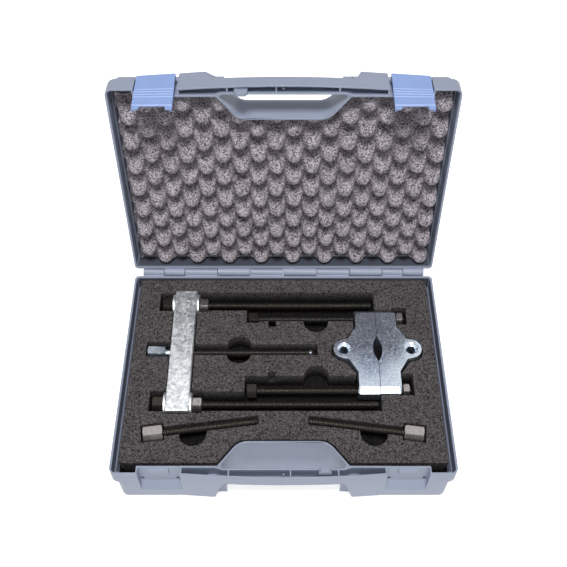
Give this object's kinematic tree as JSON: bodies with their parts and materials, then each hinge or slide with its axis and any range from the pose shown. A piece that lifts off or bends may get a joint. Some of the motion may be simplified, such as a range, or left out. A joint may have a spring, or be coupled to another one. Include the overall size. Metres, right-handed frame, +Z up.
{
  "type": "ball joint separator set",
  "caption": "Ball joint and bearing separator with puller crossbar, rods and spare screws in an open hinged plastic case with fitted foam.",
  "frame": {"origin": "middle of the case underside", "axes": "+X to the right along the hinge, +Y from the handle to the hinge, +Z up"},
  "size_m": [0.4, 0.3668, 0.3594],
  "materials": {
    "case_plastic": "satin moulded",
    "latch_plastic": "satin moulded",
    "base_foam": "open-cell foam",
    "lid_foam": "open-cell foam",
    "zinc_steel": "zinc plated, spangled",
    "washer_steel": "bright zinc",
    "black_steel": "black oxide",
    "pin_steel": "plain"
  },
  "bodies": {
    "case_base": {"base_shell": "case_plastic", "base_foam_floor": "base_foam", "base_foam_tray": "base_foam", "base_foam_island": "base_foam", "base_foam_front_left": "base_foam", "base_foam_front_right": "base_foam", "hinge_pin_left": "pin_steel", "hinge_pin_right": "pin_steel"},
    "lid": {"lid_shell": "case_plastic", "lid_foam": "lid_foam", "latch_pin_left": "pin_steel", "latch_pin_right": "pin_steel"},
    "latch_left": {"latch_left": "latch_plastic"},
    "latch_right": {"latch_right": "latch_plastic"},
    "puller": {"crossbar": "zinc_steel", "washer_upper_head": "washer_steel", "washer_lower_head": "washer_steel"},
    "pull_rod_upper": {"pull_rod_upper": "black_steel"},
    "pull_rod_lower": {"pull_rod_lower": "black_steel"},
    "nut_washer_upper": {"washer_upper_nut": "washer_steel"},
    "nut_washer_lower": {"washer_lower_nut": "washer_steel"},
    "nut_upper": {"nut_upper": "black_steel"},
    "nut_lower": {"nut_lower": "black_steel"},
    "pressure_pad": {"pressure_pad": "washer_steel"},
    "pressure_spindle": {"pressure_spindle": "black_steel"},
    "separator": {"separator_jaw_left": "zinc_steel", "separator_jaw_right": "zinc_steel"},
    "tie_bolt_upper": {"tie_bolt_upper": "black_steel", "tie_nut_upper": "black_steel"},
    "tie_bolt_lower": {"tie_bolt_lower": "black_steel", "tie_nut_lower": "black_steel"},
    "short_screw_left": {"short_screw_left": "black_steel"},
    "short_screw_right": {"short_screw_right": "black_steel"}
  },
  "joints": [
    {"name": "lid_hinge", "type": "hinge", "parent": "case_base", "child": "lid", "pos_m": [0, 0.1485, 0.0662], "axis": [-1, 0, 0], "range_deg": [-96.7, 0]},
    {"name": "latch_left_hinge", "type": "hinge", "parent": "lid", "child": "latch_left", "pos_m": [0, 0.20252, 0.34863], "axis": [-1, 0, 0], "range_deg": [0, 50]},
    {"name": "latch_right_hinge", "type": "hinge", "parent": "lid", "child": "latch_right", "pos_m": [0, 0.20252, 0.34863], "axis": [-1, 0, 0], "range_deg": [0, 50]},
    {"name": "puller_lift", "type": "slide", "parent": "case_base", "child": "puller", "axis": [0, 0, 1], "range_m": [0, 0.12]},
    {"name": "pull_rod_upper_turn", "type": "hinge", "parent": "puller", "child": "pull_rod_upper", "pos_m": [-0.1288, 0.1025, 0.052], "axis": [1, 0, 0], "continuous": true},
    {"name": "pull_rod_lower_turn", "type": "hinge", "parent": "puller", "child": "pull_rod_lower", "pos_m": [-0.1288, -0.0455, 0.052], "axis": [1, 0, 0], "continuous": true},
    {"name": "nut_upper_feed", "type": "slide", "parent": "pull_rod_upper", "child": "nut_washer_upper", "axis": [1, 0, 0], "range_m": [0, 0.012]},
    {"name": "nut_upper_turn", "type": "hinge", "parent": "nut_washer_upper", "child": "nut_upper", "pos_m": [-0.1288, 0.1025, 0.052], "axis": [1, 0, 0], "range_deg": [0, 1440]},
    {"name": "nut_lower_feed", "type": "slide", "parent": "pull_rod_lower", "child": "nut_washer_lower", "axis": [1, 0, 0], "range_m": [0, 0.012]},
    {"name": "nut_lower_turn", "type": "hinge", "parent": "nut_washer_lower", "child": "nut_lower", "pos_m": [-0.1288, -0.0455, 0.052], "axis": [1, 0, 0], "range_deg": [0, 1440]},
    {"name": "spindle_feed", "type": "slide", "parent": "puller", "child": "pressure_pad", "axis": [1, 0, 0], "range_m": [-0.001, 0.0045]},
    {"name": "spindle_turn", "type": "hinge", "parent": "pressure_pad", "child": "pressure_spindle", "pos_m": [-0.1288, 0.0285, 0.052], "axis": [1, 0, 0], "range_deg": [-205.71, 925.71]},
    {"name": "separator_lift", "type": "slide", "parent": "case_base", "child": "separator", "axis": [0, 0, 1], "range_m": [0, 0.12]},
    {"name": "tie_bolt_upper_turn", "type": "hinge", "parent": "separator", "child": "tie_bolt_upper", "pos_m": [0.119, 0.0803, 0.052], "axis": [1, 0, 0], "continuous": true},
    {"name": "tie_bolt_lower_turn", "type": "hinge", "parent": "separator", "child": "tie_bolt_lower", "pos_m": [0.119, -0.0263, 0.052], "axis": [1, 0, 0], "continuous": true},
    {"name": "short_screw_left_lift", "type": "slide", "parent": "case_base", "child": "short_screw_left", "axis": [0, 0, 1], "range_m": [0, 0.1]},
    {"name": "short_screw_right_lift", "type": "slide", "parent": "case_base", "child": "short_screw_right", "axis": [0, 0, 1], "range_m": [0, 0.1]}
  ],
  "couplings": [
    {"joint": "nut_upper_turn", "follows": "nut_upper_feed", "rad_per_m": 2094.4},
    {"joint": "nut_lower_turn", "follows": "nut_lower_feed", "rad_per_m": 2094.4},
    {"joint": "spindle_turn", "follows": "spindle_feed", "rad_per_m": 3590.4}
  ]
}
